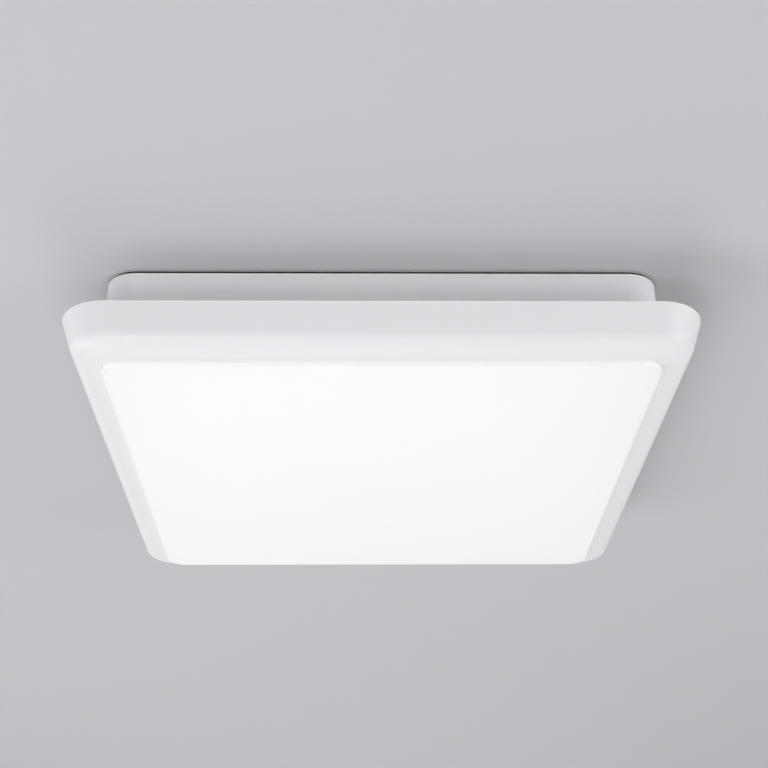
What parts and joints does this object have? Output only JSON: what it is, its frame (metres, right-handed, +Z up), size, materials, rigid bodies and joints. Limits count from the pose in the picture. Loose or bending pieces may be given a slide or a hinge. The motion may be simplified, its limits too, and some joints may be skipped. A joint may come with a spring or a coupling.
{
  "type": "flush mount ceiling light",
  "caption": "Square surface-mounted ceiling light: folded steel base with driver and light strips, and a lift-off moulded rim holding a proud opal panel.",
  "frame": {"origin": "centre of the ceiling screw pattern, on the ceiling plane", "axes": "+Z up to the ceiling, the light hangs towards -Z; +X and +Y along its sides"},
  "size_m": [0.3994, 0.3994, 0.0679],
  "materials": {
    "pan_white": "satin white powder coat on folded steel",
    "gasket_foam": "closed-cell dark foam",
    "grommet_rubber": "matt black moulded rubber",
    "block_plastic": "matt off-white moulding",
    "button_orange": "gloss orange moulding",
    "zinc_steel": "bright zinc plating",
    "spring_steel": "rolled spring steel",
    "lug_tinned": "tinned copper",
    "wire_brown": "insulation",
    "wire_blue": "insulation",
    "wire_green_yellow": "striped insulation",
    "wire_red": "insulation",
    "wire_black": "insulation",
    "driver_plastic": "matt white moulding",
    "board_green": "green solder mask on glass fibre board",
    "transformer_core": "dark ferrite with yellow tape",
    "capacitor_sleeve": "shrink sleeve",
    "strip_white": "white solder mask on aluminium",
    "chip_phosphor": "yellow phosphor",
    "lens_clear": "clear moulded acrylic",
    "connector_white": "gloss white moulding",
    "clip_white": "matt white moulding",
    "seal_foam": "light grey foam",
    "frame_white": "satin white moulding",
    "opal_panel": "opal, lit from behind"
  },
  "bodies": {
    "base": {"base_pan": "pan_white", "ceiling_gasket": "gasket_foam", "cable_grommet": "grommet_rubber", "terminal_block": "block_plastic", "terminal_screws": "zinc_steel", "earth_screw": "zinc_steel", "earth_washer": "zinc_steel", "earth_lug": "lug_tinned", "earth_wire": "wire_green_yellow", "live_wire": "wire_brown", "neutral_wire": "wire_blue", "driver_base": "driver_plastic", "driver_cover": "driver_plastic", "driver_board": "board_green", "driver_connectors": "connector_white", "driver_transformer": "transformer_core", "driver_capacitor": "capacitor_sleeve", "driver_choke": "transformer_core", "driver_screws": "zinc_steel", "board_connectors": "connector_white", "board_screws": "zinc_steel", "feed_wires_red": "wire_red", "feed_wires_black": "wire_black", "link_wires_red": "wire_red", "link_wires_black": "wire_black", "wire_clips": "clip_white", "clip_rivets": "zinc_steel", "led_board_1": "strip_white", "led_chips_1": "chip_phosphor", "led_lenses_1": "lens_clear", "spring_clip_1": "spring_steel", "led_board_2": "strip_white", "led_chips_2": "chip_phosphor", "led_lenses_2": "lens_clear", "spring_clip_2": "spring_steel", "led_board_3": "strip_white", "led_chips_3": "chip_phosphor", "led_lenses_3": "lens_clear", "spring_clip_3": "spring_steel", "led_board_4": "strip_white", "led_chips_4": "chip_phosphor", "led_lenses_4": "lens_clear", "spring_clip_4": "spring_steel"},
    "cover": {"bezel_frame": "frame_white", "cover_seal": "seal_foam", "diffuser": "opal_panel", "diffuser_seal": "seal_foam", "diffuser_clips": "zinc_steel", "diffuser_clip_screws": "zinc_steel"},
    "button_1": {"terminal_button_1": "button_orange"},
    "button_2": {"terminal_button_2": "button_orange"},
    "button_3": {"terminal_button_3": "button_orange"}
  },
  "joints": [
    {"name": "cover_lift", "type": "slide", "parent": "base", "child": "cover", "axis": [0, 0, -1], "range_m": [0, 0.12], "deforming": ["spring_clip_1", "spring_clip_2", "spring_clip_3", "spring_clip_4"]},
    {"name": "button_1_press", "type": "slide", "parent": "base", "child": "button_1", "axis": [0, 0, 1], "range_m": [0, 0.0015], "stiffness_N_per_m": 500, "springref_m": -0.002},
    {"name": "button_2_press", "type": "slide", "parent": "base", "child": "button_2", "axis": [0, 0, 1], "range_m": [0, 0.0015], "stiffness_N_per_m": 500, "springref_m": -0.002},
    {"name": "button_3_press", "type": "slide", "parent": "base", "child": "button_3", "axis": [0, 0, 1], "range_m": [0, 0.0015], "stiffness_N_per_m": 500, "springref_m": -0.002}
  ]
}
